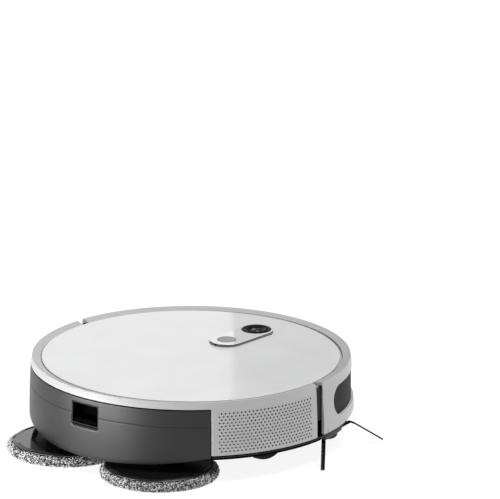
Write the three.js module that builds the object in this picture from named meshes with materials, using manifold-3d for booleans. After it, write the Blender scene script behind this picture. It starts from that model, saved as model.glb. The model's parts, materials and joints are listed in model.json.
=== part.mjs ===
// Robot vacuum with two spinning mop pads: a round cleaning robot of about 350 mm.
// Millimetres, +Z up, +Y is the robot's forward direction, +X its right-hand side.
// Angles are measured from forward, clockwise seen from above. The floor is z = 0.
// The sub-parts are drawn about the body's own axis; the last lines centre the whole.
import * as THREE from 'three';
import { mergeVertices } from 'three/addons/utils/BufferGeometryUtils.js';
import Module from 'manifold-3d';

const wasm = await Module();
wasm.setup();

// ---------- driving dimensions ----------
const GAP = 0.3; // clearance between pieces that touch or fit in one another
const BODY_R = 165; // outer radius of the side panels at their foot
const WALL = 2.5; // casing wall
const BUMPER_R = 166.2; // the bumper's lower lip stands slightly proud of the side panels
const BUMPER_IN = 162.6;
const BUMPER_END = 84; // half angle that the bumper spans
const PANEL_START = 87.3; // where the side panels begin
const BUMPER_TRAVEL = 3;
const WINDOW = { z: 59, r: 16, end: 71.4, outer: 163.9 };
const BACKING_R = 159.2; // fixed wall behind the bumper
const BACKING_END = 89.5;
const PANEL_BOTTOM = 30;
const CREST_Z = 87; // highest line of the rim
const LEAN = [[165, 34], [164.6, 60], [163.7, 78.2]]; // the side wall leans in a little, as [r, z]
const SHOULDER = [[162.9, 83], [162.3, 86.2], [161.5, CREST_Z]];
const PLATE_R = 152.5; // glossy top plate
const RECESS_R = 153.3; // recess that the top plate lies in
const DECK_Z = 82.3; // upper face of the deck under the top plate
const DECK_T = 2;
const FLOOR_GAP = 13; // height of the flat underside
const PAN_T = 2.5;
const TANK_HALF = 48.3; // half angle of the rear tank panel
const TANK_TOP = 78.2;
const TANK_SPLIT = 60.7; // parting line between tank and tank cover
const TANK_FLOOR = 47; // tank floor over the mop gearbox
const TANK_BOX = { x: 84, y: -44 }; // half width and front of the tank inside the body
const PLUG = { x: 62, y: -80, r: 8 };
const MOP = { x: 63, y: -120.3, padR: 60.5, plateR: 55.5, padTop: 9 };
const MOP_BAY_R = 66; // recess over each mop
const MOP_CEILING = 22;
const MOP_CEILING_R = 141.5; // outside this radius the dished pan itself closes the recess
const GEARBOX_R = 19; // round each mop spindle
const PAN_REAR_R = 160.5; // the pan ends inside the tank's skin
const WHEEL = { x: 106, y: -8, r: 34, hubR: 25.7, width: 15 };
const ARM_PIVOT = { y: 32, z: 36 };
const ARM_X = [83, 96];
const ROLLER = { y: -8, z: 20, r: 18.8, half: 75 };
const CHAMBER = { x: 78, y0: -33, y1: 19, top: 41 };
const BATTERY = { x: 68, y0: 43, y1: 100, z0: 17, z1: 39 };
const CASTER = { y: 128, r: 10, trail: 6, width: 12, plateR: 18 };
const CONTACT = { x: 40, y: 117 };
const BUTTON_Y = 56;
const CAMERA_Y = 102;
const ISLAND = { r: 17.5, z0: 86.4, z1: 89.2 };
const SIDE_BRUSH = { x: 138.4, y: 48.6, hubR: 13.5, z0: 15.8, z1: 24.2, reach: 67.5, firstArm: -50.5 };
const CLIFF = { r: 151, lensR: 5, angles: { left: -62, front_left: -20, front_right: 20, right: 62 } };
const FAN = { x: 113, y: -86, r: 19.5 };
const POCKET = { half: 18, z0: 50, z1: 73.5, depth: 16 };
const LATCH = { half: 14.6, z0: 52.1, height: 4.6, depth: 9 };
const SEG_BODY = 72; // facets round the body
const SEG_SMALL = 24;
const TALL = 100; // reaches above the whole robot, for cutting right through

// ---------- finishes ----------
const finish = (color, roughness, metalness = 0) =>
  new THREE.MeshStandardMaterial({ color, roughness, metalness });
const WHITE = finish(0xe9e9ea, 0.35);
const TOP_GLOSS = finish(0xe6e6e7, 0.12);
const DARK_GREY = finish(0x55565a, 0.3);
const WINDOW_GREY = finish(0x3a3b3d, 0.35);
const BLACK = finish(0x1b1b1d, 0.5);
const GLOSS_BLACK = finish(0x0d0d0e, 0.1);
const BUTTON_GREY = finish(0xa3a5a8, 0.3);
const RUBBER = finish(0x262627, 0.8);
const FABRIC = finish(0x8d8e90, 0.95);
const BRISTLE = finish(0x1a1a1a, 0.8);
const METAL = finish(0xb9bbbe, 0.3, 1);
const BOARD_GREEN = finish(0x1f4a33, 0.6);
const CLEAR_DARK = finish(0x35383c, 0.2);

// ---------- solids ----------
const radians = (degrees) => (degrees * Math.PI) / 180;

/** Turns a closed geometry into a solid that can be joined and cut. */
function solid(geometry) {
  const bare = geometry.clone();
  bare.deleteAttribute('normal');
  bare.deleteAttribute('uv');
  const merged = mergeVertices(bare, 1e-4);
  const kept = [];
  const index = merged.index.array;
  for (let i = 0; i < index.length; i += 3) {
    const [a, b, c] = [index[i], index[i + 1], index[i + 2]];
    if (a !== b && b !== c && c !== a) kept.push(a, b, c);
  }
  const vertProperties = new Float32Array(merged.attributes.position.array);
  return new wasm.Manifold(new wasm.Mesh({ numProp: 3, vertProperties, triVerts: new Uint32Array(kept) }));
}

function joined(...solids) {
  return solids.reduce((sum, next) => sum.add(next));
}

function cut(body, ...tools) {
  return tools.reduce((rest, tool) => rest.subtract(tool), body);
}

function box([x0, x1], [y0, y1], [z0, z1]) {
  const geometry = new THREE.BoxGeometry(x1 - x0, y1 - y0, z1 - z0);
  geometry.translate((x0 + x1) / 2, (y0 + y1) / 2, (z0 + z1) / 2);
  return solid(geometry);
}

/** Upright cylinder. */
function disc(x, y, r, z0, z1, segments = SEG_SMALL) {
  const geometry = new THREE.CylinderGeometry(r, r, z1 - z0, segments);
  geometry.rotateX(Math.PI / 2);
  geometry.translate(x, y, (z0 + z1) / 2);
  return solid(geometry);
}

/** Cylinder along X. */
function drum(x0, x1, y, z, r, segments = SEG_SMALL) {
  const geometry = new THREE.CylinderGeometry(r, r, x1 - x0, segments);
  geometry.rotateZ(Math.PI / 2);
  geometry.translate((x0 + x1) / 2, y, z);
  return solid(geometry);
}

/** Solid of revolution about an upright axis, from counter-clockwise points [r, z]. */
function turned(profile, segments = SEG_BODY, x = 0, y = 0) {
  const points = profile.map(([r, z]) => new THREE.Vector2(r, z));
  if (profile[0][0] > 0) points.push(points[0].clone());
  const geometry = new THREE.LatheGeometry(points, segments);
  geometry.rotateX(Math.PI / 2);
  geometry.translate(x, y, 0);
  return solid(geometry);
}

function ring(r0, r1, z0, z1, segments = SEG_BODY, x = 0, y = 0) {
  return turned([[r0, z0], [r1, z0], [r1, z1], [r0, z1]], segments, x, y);
}

/** Upright prism over an outline. */
function prism(shape, z0, z1, curveSegments = 12) {
  const geometry = new THREE.ExtrudeGeometry(shape, { depth: z1 - z0, bevelEnabled: false, curveSegments });
  geometry.translate(0, 0, z0);
  return solid(geometry);
}

/** Upright pie slice between two angles, for cutting the round body into sectors. */
function sector(a0, a1, z0, z1, r = 2 * BODY_R) {
  const shape = new THREE.Shape();
  shape.moveTo(0, 0);
  const steps = Math.ceil((a1 - a0) / 15);
  for (let i = 0; i <= steps; i += 1) {
    const a = radians(a0 + ((a1 - a0) * i) / steps);
    shape.lineTo(r * Math.sin(a), r * Math.cos(a));
  }
  return prism(shape, z0, z1);
}

/** Outline round two circles of one radius, one at each end of a straight line. */
function capsuleShape([x0, y0], [x1, y1], r) {
  const along = Math.atan2(y1 - y0, x1 - x0);
  const shape = new THREE.Shape();
  shape.absarc(x0, y0, r, along + Math.PI / 2, along + (3 * Math.PI) / 2);
  shape.absarc(x1, y1, r, along - Math.PI / 2, along + Math.PI / 2);
  return shape;
}

/** Plan of the gearbox over both mop spindles, or of the walls a margin outside it. */
function gearboxOutline(margin) {
  return capsuleShape([-MOP.x, MOP.y], [MOP.x, MOP.y], GEARBOX_R + margin);
}

/** Radial cylinder through the side wall at an angle and height. */
function radialDrum(angle, z, r) {
  const geometry = new THREE.CylinderGeometry(r, r, BODY_R, SEG_SMALL);
  geometry.translate(0, BODY_R, 0);
  geometry.rotateZ(-radians(angle));
  geometry.translate(0, 0, z);
  return solid(geometry);
}

const group = new THREE.Group();

/** Adds a solid to the model as a named mesh. */
function part(name, body, material) {
  const { vertProperties, triVerts } = body.getMesh();
  const geometry = new THREE.BufferGeometry();
  geometry.setAttribute('position', new THREE.BufferAttribute(vertProperties, 3));
  geometry.setIndex(new THREE.BufferAttribute(triVerts, 1));
  geometry.computeVertexNormals();
  const mesh = new THREE.Mesh(geometry, material);
  mesh.name = name;
  group.add(mesh);
}

const SIDES = [['left', -1], ['right', 1]];
const both = (make) => joined(make(-1), make(1));
const mirrored = (side, a, b) => (side > 0 ? [a, b] : [-b, -a]);

// ---------- casing ----------

/** Rim, side panels and deck in one moulding, open behind the bumper and round the tank. */
function upperShell() {
  const shell = turned([
    [0, DECK_Z - DECK_T], [BODY_R - WALL, DECK_Z - DECK_T], [BODY_R - WALL, PANEL_BOTTOM],
    [BODY_R, PANEL_BOTTOM], ...LEAN, ...SHOULDER, [RECESS_R, 84.8], [RECESS_R, DECK_Z], [0, DECK_Z],
  ]);
  const bumperBay = joined(
    cut(sector(-PANEL_START, PANEL_START, DECK_Z, 100), disc(0, 0, PLATE_R, 80, 101, SEG_BODY)),
    cut(sector(-PANEL_START, PANEL_START, 0, 100), disc(0, 0, BACKING_R - 0.2, -1, 101, SEG_BODY)),
  );
  const tankBay = cut(
    sector(180 - TANK_HALF - 0.2, 180 + TANK_HALF + 0.2, 0, TANK_TOP + 0.5),
    disc(0, 0, 140, -1, 101),
  );
  part('upper_shell', cut(shell, bumperBay, tankBay), WHITE);
}

function topPlate() {
  const plate = turned([
    [0, DECK_Z + GAP], [PLATE_R - 0.4, DECK_Z + GAP], [PLATE_R, 83.2], [PLATE_R, 85.1],
    [PLATE_R - 0.6, 85.5], [120, 85.8], [0, 86.1],
  ]);
  part('top_plate', plate, TOP_GLOSS);
}

/** Dished underside with the wheel wells, the suction mouth and the recess over the mops. */
function basePan() {
  const underside = [[0, FLOOR_GAP], [122, FLOOR_GAP], [162, 27], [164, 27.5], [164, PANEL_BOTTOM - GAP]];
  const insideTop = [[159.5, PANEL_BOTTOM - GAP], [121, FLOOR_GAP + PAN_T], [0, FLOOR_GAP + PAN_T]];
  const pan = turned([...underside, ...insideTop]);
  const insideTank = disc(0, 0, PAN_REAR_R, 0, TALL, SEG_BODY);
  const bay = (r, z1) => both((side) => disc(side * MOP.x, MOP.y, r, 0, z1, 64));
  const bayInner = bay(MOP_BAY_R, MOP_CEILING - PAN_T);
  const bayOuter = cut(bay(MOP_BAY_R + PAN_T, MOP_CEILING), bayInner);
  const fence = bayOuter.intersect(turned([...underside, [0, PANEL_BOTTOM - GAP]]));
  const aroundGearbox = (margin, z0, z1) => prism(gearboxOutline(margin), z0, z1).intersect(insideTank);
  const reach = (r, margin, z0, z1) =>
    joined(disc(0, 0, r, z0, z1, SEG_BODY), aroundGearbox(margin, z0, z1));
  const ceiling = bay(MOP_BAY_R + PAN_T, MOP_CEILING)
    .intersect(reach(MOP_CEILING_R, 3, MOP_CEILING - PAN_T, MOP_CEILING));
  const overGearbox = bay(MOP_BAY_R, TALL).intersect(reach(MOP_CEILING_R - 3, 1, 0, TALL));
  const gearboxWall = cut(
    aroundGearbox(3, MOP_CEILING - 1, PANEL_BOTTOM - GAP),
    aroundGearbox(1, 0, TALL),
    disc(0, 0, MOP_CEILING_R - 3, 0, TALL, SEG_BODY),
  );
  const rearEdge = cut(sector(180 - TANK_HALF - 0.3, 180 + TANK_HALF + 0.3, 0, TALL), insideTank);
  const withBays = joined(cut(pan, bayInner, overGearbox), fence, ceiling, gearboxWall);
  part('base_pan', cut(withBays, rearEdge, ...panOpenings()), BLACK);
}

/** Everything that passes through the pan: wheels, spindles, battery, caster, contacts and sensors. */
function panOpenings() {
  const [wellX0, wellX1] = [81, 117];
  return [
    both((side) => disc(side * MOP.x, MOP.y, 7, 0, TALL)),
    both((side) => box(mirrored(side, wellX0, wellX1), [-47, 47], [0, TALL])),
    both((side) => contactBox(side, GAP, 0, TALL)),
    box([-CHAMBER.x - GAP, CHAMBER.x + GAP], [CHAMBER.y0 - GAP, CHAMBER.y1 + GAP], [0, TALL]),
    box([-BATTERY.x - 4, BATTERY.x + 4], [BATTERY.y0 - 4, BATTERY.y1 + 4], [0, TALL]),
    disc(0, CASTER.y, CASTER.plateR + 2.5, 0, TALL),
    disc(SIDE_BRUSH.x, SIDE_BRUSH.y, SIDE_BRUSH.hubR + 1.5, 0, 28.2),
    ...Object.values(CLIFF.angles).map((angle) => cliffDisc(angle, CLIFF.lensR + GAP, 0, TALL)),
  ];
}

function cliffDisc(angle, r, z0, z1) {
  return disc(CLIFF.r * Math.sin(radians(angle)), CLIFF.r * Math.cos(radians(angle)), r, z0, z1, 20);
}

function cliffSensors() {
  for (const [place, angle] of Object.entries(CLIFF.angles)) {
    part(`cliff_sensor_${place}`, cliffDisc(angle, CLIFF.lensR, 22.6, 31), CLEAR_DARK);
  }
}

/** Fixed wall behind the bumper, thicker at both ends, where it closes the side gaps. */
function bumperBacking() {
  const top = DECK_Z - DECK_T - GAP;
  const wall = ring(BACKING_R - 2, BACKING_R, PANEL_BOTTOM, top)
    .intersect(sector(-BACKING_END, BACKING_END, 0, TALL));
  const strip = ring(BACKING_R - 0.2, 161.9, PANEL_BOTTOM, top);
  const strips = SIDES.map(([, side]) => strip.intersect(
    sector(...mirrored(side, BUMPER_END - 1.2, BACKING_END), 0, TALL)));
  part('bumper_backing', joined(wall, ...strips), WINDOW_GREY);
}

// ---------- bumper ----------

/** Everything within the rounded window outline, grown by a margin. */
function windowBand(margin) {
  const r = WINDOW.r + margin;
  return joined(
    sector(-WINDOW.end, WINDOW.end, WINDOW.z - r, WINDOW.z + r),
    radialDrum(-WINDOW.end, WINDOW.z, r),
    radialDrum(WINDOW.end, WINDOW.z, r),
  );
}

function bumper() {
  const shell = turned([
    [BUMPER_IN, 31], [BUMPER_R - 0.6, 31], [BUMPER_R, 31.8], [BUMPER_R, 43], [164.6, 72], [164.2, 80],
    [163.6, 86], [162.8, CREST_Z], [RECESS_R, 84.6], [RECESS_R, DECK_Z + 0.4], [161.9, DECK_Z + 0.45],
    [BUMPER_IN, 82.1],
  ]);
  const ends = sector(-BUMPER_END, BUMPER_END, 0, 100);
  const plateClearance = disc(0, BUMPER_TRAVEL, RECESS_R, 60, 100, SEG_BODY);
  part('bumper_shell', cut(shell.intersect(ends), plateClearance, windowBand(GAP)), WHITE);
  const window = ring(BUMPER_IN + 0.1, WINDOW.outer, 40, 80).intersect(windowBand(0));
  part('bumper_window', window, WINDOW_GREY);
}

// ---------- console ----------
function consoleIsland() {
  const outline = capsuleShape([0, BUTTON_Y], [0, CAMERA_Y], ISLAND.r);
  const island = cut(
    prism(outline, ISLAND.z0, ISLAND.z1, 20),
    disc(0, BUTTON_Y, 10, 80, 95, 40),
    disc(0, CAMERA_Y, 15.5, 80, 95, 48),
  );
  part('console_island', island, WHITE);
  const button = turned([[0, 87.5], [9.6, 87.5], [9.6, 89.2], [8.9, 89.6], [0, 89.6]], 40, 0, BUTTON_Y);
  part('power_button', button, BUTTON_GREY);
  const bezel = turned(
    [[5.6, 86.4], [15.1, 86.4], [15.1, 88.9], [13.9, 89.6], [11.6, 89.6], [8, 88.2], [5.6, 88.2]],
    48, 0, CAMERA_Y,
  );
  part('camera_bezel', bezel, GLOSS_BLACK);
  const lens = [[0, 86.4], [5.2, 86.4], [5.2, 87.8], [4, 88.8], [2, 89.3], [0, 89.4]];
  part('camera_lens', turned(lens, 32, 0, CAMERA_Y), CLEAR_DARK);
}

// ---------- inside the body ----------
function internals() {
  part('main_board', box([-62, 62], [24, 86], [62, 63.6]), BOARD_GREEN);
  const { x, y0, y1, z0, z1 } = BATTERY;
  part('battery_pack', box([-x, x], [y0, y1], [z0, z1]), BLACK);
  const cover = box([-x - 3.6, x + 3.6], [y0 - 3.6, y1 + 3.6], [FLOOR_GAP + 0.1, FLOOR_GAP + PAN_T]);
  part('battery_cover', cover, BLACK);
  part('side_brush_motor', disc(SIDE_BRUSH.x, SIDE_BRUSH.y, 9.5, 30, 56), METAL);
  part('brush_motor', box([-CHAMBER.x, -48], [22.5, 38], [17, 42]), BLACK);
}

/** Trough over the roller, open to the floor and, through a slot in its roof, to the duct. */
function brushChamber() {
  const { x, y0, y1, top } = CHAMBER;
  const trough = cut(
    box([-x, x], [y0, y1], [FLOOR_GAP + 0.2, top]),
    box([-x + 2, x - 2], [y0 + 2, y1 - 2], [0, top - 2]),
    box([-40, 40], [y0 + 2.5, y0 + 15], [top - 5, top + 5]),
  );
  part('brush_chamber', trough, BLACK);
  const frame = cut(
    box([-x - 3, x + 3], [y0 - 5, y1 + 5], [FLOOR_GAP - 2.6, FLOOR_GAP - GAP]),
    box([-x + 2, x - 2], [y0 + 2, y1 - 2], [0, 60]),
  );
  part('brush_frame', joined(frame, ...brushGuards()), DARK_GREY);
  const duct = cut(
    box([-42, 42], [-40.5, -14], [top + GAP, 76]),
    box([-40, 40], [-50, -16.5], [53, 74]),
    box([-40, 40], [-31, -17], [0, 60]),
  );
  part('suction_duct', duct, BLACK);
}

/** Bars across the suction mouth, under the roller, that keep cables out. */
function brushGuards() {
  return [-45, 0, 45].map((x) => joined(
    box([x - 1.2, x + 1.2], [CHAMBER.y0, CHAMBER.y0 + 6], [FLOOR_GAP - 2.6, FLOOR_GAP - GAP]),
    box([x - 1.2, x + 1.2], [CHAMBER.y1 - 6, CHAMBER.y1], [FLOOR_GAP - 2.6, FLOOR_GAP - GAP]),
  ));
}

/** Suction fan beside the tank, behind the perforated side panel. */
function fan() {
  const { x, y, r } = FAN;
  const housing = cut(disc(x, y, r, 44, 74, 32), disc(x, y, r - 2, 46, 72, 32), disc(x, y, 9, 71, 75));
  const outlet = box([x + 4, x + r + 8], [y + 4, y + 12], [50, 68]);
  part('fan_housing', cut(housing, outlet), BLACK);
  const blades = Array.from({ length: 9 }, (_, i) => {
    const blade = new THREE.BoxGeometry(11, 1.2, 12);
    blade.translate(10, 0, 64);
    blade.rotateZ((i * 2 * Math.PI) / 9);
    blade.translate(x, y, 0);
    return solid(blade);
  });
  const backPlate = disc(x, y, r - 3.4, 57, 58.6, 32);
  part('fan_impeller', joined(backPlate, disc(x, y, 6, 58, 70, 20), ...blades), DARK_GREY);
  part('fan_motor', disc(x, y, 12, 46.3, 56.4, 24), METAL);
}

function mopDrive() {
  const holes = SIDES.map(([, side]) => disc(side * MOP.x, MOP.y, 5.3, 10, 38, 24));
  part('mop_gearbox', cut(prism(gearboxOutline(0), MOP_CEILING + GAP, 44), ...holes), BLACK);
  part('mop_motor', drum(-24, 24, -86, 33, 10, 24), METAL);
}

// ---------- rear tank ----------

/** Skin of the tank between two heights; its lower edge sweeps up towards both ends. */
function tankSkin(z0, z1) {
  const leaning = turned([[BODY_R - 3.2, 0], [BODY_R, 0], ...LEAN, [BODY_R - 3.2, LEAN.at(-1)[1]]]);
  const slice = sector(180 - TANK_HALF, 180 + TANK_HALF, z0, z1);
  return cut(leaning.intersect(slice), sweptLowerEdge());
}

/** Solid below the skin's lower edge, which is 17 mm high at the centre and 28 mm at the ends. */
function sweptLowerEdge() {
  const centre = 17;
  const rise = 11;
  const reach = 130;
  const shape = new THREE.Shape();
  shape.moveTo(-reach, -10);
  shape.lineTo(reach, -10);
  for (let x = reach; x >= -reach; x -= 10) {
    const angle = Math.asin(Math.max(-1, Math.min(1, x / BODY_R)));
    shape.lineTo(x, centre + rise * (angle / radians(TANK_HALF)) ** 2);
  }
  const geometry = new THREE.ExtrudeGeometry(shape, { depth: 2 * BODY_R, bevelEnabled: false });
  geometry.rotateX(Math.PI / 2);
  return solid(geometry);
}

/** Box across the tank whose rear follows the round body, inset from the skin's face by a margin. */
function tankPlan(half, front, z0, z1, margin) {
  const round = disc(0, 0, BODY_R - margin, 0, TALL, SEG_BODY);
  return box([-half, half], [-BODY_R, front], [z0, z1]).intersect(round);
}

/** Hollow of the tray or cover, leaving walls of 2 mm and the block that the finger pocket is in. */
function tankHollow(z0, z1) {
  const pocketBlock = box([-24, 24], [-BODY_R, -BODY_R + POCKET.depth + 3], [0, TALL]);
  return cut(tankPlan(TANK_BOX.x - 2, TANK_BOX.y - 2, z0, z1, 5.2), pocketBlock);
}

function tank() {
  const pocket = box([-POCKET.half - GAP, POCKET.half + GAP], [-BODY_R - 5, -BODY_R + POCKET.depth + GAP],
    [POCKET.z0 - GAP, POCKET.z1 + GAP]);
  const split = TANK_SPLIT - 0.2;
  const tray = cut(
    joined(tankSkin(10, split), tankPlan(TANK_BOX.x, TANK_BOX.y, TANK_FLOOR, split, 2)),
    tankHollow(TANK_FLOOR + 2, TALL),
    box([-41, 41], [-50, -30], [52, TALL]),
    pocket,
  );
  part('tank_shell', tray, DARK_GREY);
  const above = TANK_SPLIT + 0.2;
  const cover = cut(
    joined(tankSkin(above, TANK_TOP), tankPlan(TANK_BOX.x, TANK_BOX.y, above, TANK_TOP, 2)),
    tankHollow(0, TANK_TOP - 2),
    box([-41, 41], [-50, -30], [50, 74.4]),
    pocket,
    disc(PLUG.x, PLUG.y, PLUG.r + GAP, 70, TALL),
  );
  part('tank_cover', cover, DARK_GREY);
  part('filler_plug', disc(PLUG.x, PLUG.y, PLUG.r, 75, TANK_TOP + 0.2), RUBBER);
  dustBin();
  latch();
}

function dustBin() {
  const z0 = TANK_FLOOR + 2 + GAP;
  const top = TANK_TOP - 2 - GAP;
  part('dust_bin', cut(
    box([-39, 39], [-140, -46.4], [z0, top]),
    box([-37.5, 37.5], [-138.5, -40], [z0 + 1.5, top - 1.5]),
  ), CLEAR_DARK);
  part('dust_filter', box([-37, 37], [-138, -128], [z0 + 2, top - 2]), FABRIC);
}

/** Finger pocket in the tank's rear face, with the release bar along its lower edge. */
function latch() {
  const back = -BODY_R + POCKET.depth;
  const inset = ([r, z]) => [r - 0.4, z];
  const withinSkin = turned([[0, 0], inset([BODY_R, 0]), ...LEAN.map(inset), [0, LEAN.at(-1)[1]]]);
  const liner = box([-POCKET.half, POCKET.half], [-BODY_R - 5, back], [POCKET.z0, POCKET.z1])
    .intersect(withinSkin);
  const hollowZ = [POCKET.z0 + 1.8, POCKET.z1 - 1.8];
  const hollow = box([-POCKET.half + 2, POCKET.half - 2], [-BODY_R - 9, back - 2], hollowZ);
  part('pocket_liner', cut(liner, hollow), GLOSS_BLACK);
  const bar = box([-LATCH.half, LATCH.half], [-BODY_R - 5, -BODY_R + 1.4 + LATCH.depth],
    [LATCH.z0, LATCH.z0 + LATCH.height]).intersect(disc(0, 0, BODY_R - 1.2, 0, 100, SEG_BODY));
  part('release_bar', bar, BLACK);
}

// ---------- mops ----------
function mops() {
  for (const [name, side] of SIDES) {
    const x = side * MOP.x;
    const { y, padR, plateR, padTop } = MOP;
    part(`mop_pad_${name}`, turned([
      [0, 0], [padR - 3.5, 0], [padR - 0.8, 1.8], [padR, 4.5], [padR - 0.8, 7.2], [padR - 3.5, padTop],
      [0, padTop],
    ], 40, x, y), FABRIC);
    part(`mop_plate_${name}`, turned([
      [0, padTop + GAP], [plateR - 1, padTop + GAP], [plateR, 10], [plateR, 11.2], [plateR - 2.5, 12.4],
      [24, 12.9], [14, 14.5], [13, 18.6], [0, 18.6],
    ], 40, x, y), GLOSS_BLACK);
    part(`mop_spindle_${name}`, disc(x, y, 5, 18.9, 37.6, 20), METAL);
  }
}

// ---------- roller ----------
function roller() {
  const { y, z, r, half } = ROLLER;
  const core = joined(drum(-half, half, y, z, 9), drum(-half - 0.8, half + 0.8, y, z, 4, 16));
  part('roller_core', core, DARK_GREY);
  const strips = 4;
  const twist = radians(70);
  for (let i = 0; i < strips; i += 1) {
    const strip = new THREE.BoxGeometry(2 * half - 6, 2.6, r - 9.3, 16, 1, 1);
    strip.translate(0, 0, 9.3 + (r - 9.3) / 2);
    const at = strip.attributes.position;
    for (let v = 0; v < at.count; v += 1) {
      const turn = (i * 2 * Math.PI) / strips + (twist * at.getX(v)) / half;
      const point = new THREE.Vector3().fromBufferAttribute(at, v);
      point.applyAxisAngle(new THREE.Vector3(1, 0, 0), turn);
      at.setXYZ(v, point.x, point.y, point.z);
    }
    strip.translate(0, y, z);
    part(`roller_strip_${i + 1}`, solid(strip), i % 2 ? BRISTLE : RUBBER);
  }
}

// ---------- side brush ----------

/** Height of an arm: the two outside the body stay level and then droop, the third lies under the pan. */
function armHeight(index, along) {
  const underBody = index === 2;
  return underBody ? 14.4 - 4 * along - 7.6 * along ** 2 : 21.4 - 31.5 * Math.max(0, along - 0.4);
}

function sideBrush() {
  const { x, y, hubR, z0, z1, reach, firstArm } = SIDE_BRUSH;
  const hub = joined(disc(x, y, hubR, z0, z1), disc(x, y, 4, z1 - 1, 29.6, 20));
  part('side_brush_hub', hub, BLACK);
  for (let i = 0; i < 3; i += 1) {
    const root = i === 2 ? 4 : hubR + GAP;
    const arm = new THREE.BoxGeometry(reach - root, 4, 1.6, 6, 1, 1);
    arm.translate((reach + root) / 2, 0, 0);
    const at = arm.attributes.position;
    for (let v = 0; v < at.count; v += 1) {
      const along = at.getX(v) / reach;
      at.setZ(v, at.getZ(v) * (1 - 0.4 * along) + armHeight(i, along));
    }
    arm.rotateZ(radians(firstArm + 120 * i));
    arm.translate(x, y, 0);
    part(`side_brush_tuft_${i + 1}`, solid(arm), BRISTLE);
  }
}

// ---------- wheels and caster ----------
function wheels() {
  for (const [name, side] of SIDES) {
    const [w0, w1] = mirrored(side, WHEEL.x - WHEEL.width / 2, WHEEL.x + WHEEL.width / 2);
    const wheelDrum = (inset, r) => drum(w0 + inset, w1 - inset, WHEEL.y, WHEEL.r, r, 36);
    const tread = joined(wheelDrum(1.5, WHEEL.r), wheelDrum(0, WHEEL.r - 2));
    part(`wheel_tyre_${name}`, cut(tread, wheelDrum(-1, WHEEL.hubR + GAP)), RUBBER);
    part(`wheel_hub_${name}`, wheelDrum(0.6, WHEEL.hubR), DARK_GREY);
    const [a0, a1] = mirrored(side, ...ARM_X);
    const outline = capsuleShape([WHEEL.y, WHEEL.r], [ARM_PIVOT.y, ARM_PIVOT.z], 12);
    const options = { depth: a1 - a0, bevelEnabled: false, curveSegments: 8 };
    const geometry = new THREE.ExtrudeGeometry(outline, options);
    geometry.applyMatrix4(new THREE.Matrix4().makeBasis(
      new THREE.Vector3(0, 1, 0), new THREE.Vector3(0, 0, 1), new THREE.Vector3(1, 0, 0),
    ));
    geometry.translate(a0, 0, 0);
    part(`wheel_arm_${name}`, solid(geometry), BLACK);
  }
}

function caster() {
  const { y, r, trail, width } = CASTER;
  const wheelY = y - trail;
  const cheeks = both((side) => box(mirrored(side, 6.5, 9), [wheelY - 4, y + 4], [r - 4, 22]));
  const fork = joined(disc(0, y, CASTER.plateR, 21.5, 25), disc(0, y, 5, 24.5, 33, 20), cheeks);
  part('caster_fork', fork, BLACK);
  part('caster_wheel', drum(-width / 2, width / 2, wheelY, r, r, 28), RUBBER);
  part('caster_socket', ring(5.4, 12, 25.4, 35, 28, 0, y), DARK_GREY);
}

function contactBox(side, margin, z0, z1) {
  const x = side * CONTACT.x;
  const [halfX, halfY] = [8.6 + margin, 4.6 + margin];
  return box([x - halfX, x + halfX], [CONTACT.y - halfY, CONTACT.y + halfY], [z0, z1]);
}

function chargeContacts() {
  for (const [name, side] of SIDES) {
    part(`charge_contact_${name}`, contactBox(side, 0, 14.2, 17.5), METAL);
  }
}

upperShell();
topPlate();
basePan();
cliffSensors();
bumperBacking();
bumper();
consoleIsland();
internals();
brushChamber();
fan();
mopDrive();
tank();
mops();
roller();
sideBrush();
wheels();
caster();
chargeContacts();

// The origin is under the middle of the whole object's box, on the floor.
const bounds = new THREE.Box3().setFromObject(group);
const middle = bounds.getCenter(new THREE.Vector3());
group.position.set(-middle.x, -middle.y, 0);
group.updateMatrixWorld(true);

export default group;
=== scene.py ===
"""Looks of the robot vacuum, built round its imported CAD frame.

Shapes are drawn in millimetres about the round body's own axis, with +Y forward and +X to the right,
and angles measured from forward, clockwise seen from above. put() moves them into the frame, in metres.
"""
import json
import random
from math import asin, atan2, cos, degrees, pi, radians, sin, sqrt, tan

import bmesh
import bpy
from mathutils import Matrix, Vector


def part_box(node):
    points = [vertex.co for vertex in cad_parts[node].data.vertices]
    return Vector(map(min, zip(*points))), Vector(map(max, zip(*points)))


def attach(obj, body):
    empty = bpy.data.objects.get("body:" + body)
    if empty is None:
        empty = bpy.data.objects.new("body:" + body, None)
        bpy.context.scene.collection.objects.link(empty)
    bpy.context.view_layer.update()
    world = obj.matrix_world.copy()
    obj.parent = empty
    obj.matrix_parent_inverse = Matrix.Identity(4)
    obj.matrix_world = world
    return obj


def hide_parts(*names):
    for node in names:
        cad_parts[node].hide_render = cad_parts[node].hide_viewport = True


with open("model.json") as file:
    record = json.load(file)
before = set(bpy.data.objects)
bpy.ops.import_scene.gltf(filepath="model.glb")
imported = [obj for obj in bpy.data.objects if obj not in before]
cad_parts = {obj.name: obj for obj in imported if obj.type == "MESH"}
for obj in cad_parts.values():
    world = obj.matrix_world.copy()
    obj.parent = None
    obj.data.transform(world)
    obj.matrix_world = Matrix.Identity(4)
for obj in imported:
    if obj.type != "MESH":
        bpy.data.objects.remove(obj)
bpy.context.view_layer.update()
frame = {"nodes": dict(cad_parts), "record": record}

MM = 0.001
PLATE_LOW, PLATE_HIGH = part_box("top_plate")
AXIS = Vector(((PLATE_LOW.x + PLATE_HIGH.x) / 2, (PLATE_LOW.y + PLATE_HIGH.y) / 2, 0))
RNG = random.Random(7)


def centre_mm(node):
    """Middle of a CAD node, in millimetres about the body's axis."""
    low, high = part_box(node)
    return ((low + high) / 2 - AXIS) / MM


def size_mm(node):
    low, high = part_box(node)
    return (high - low) / MM


def heights(node):
    """Lowest and highest z of a CAD node."""
    return [corner.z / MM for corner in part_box(node)]


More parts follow.
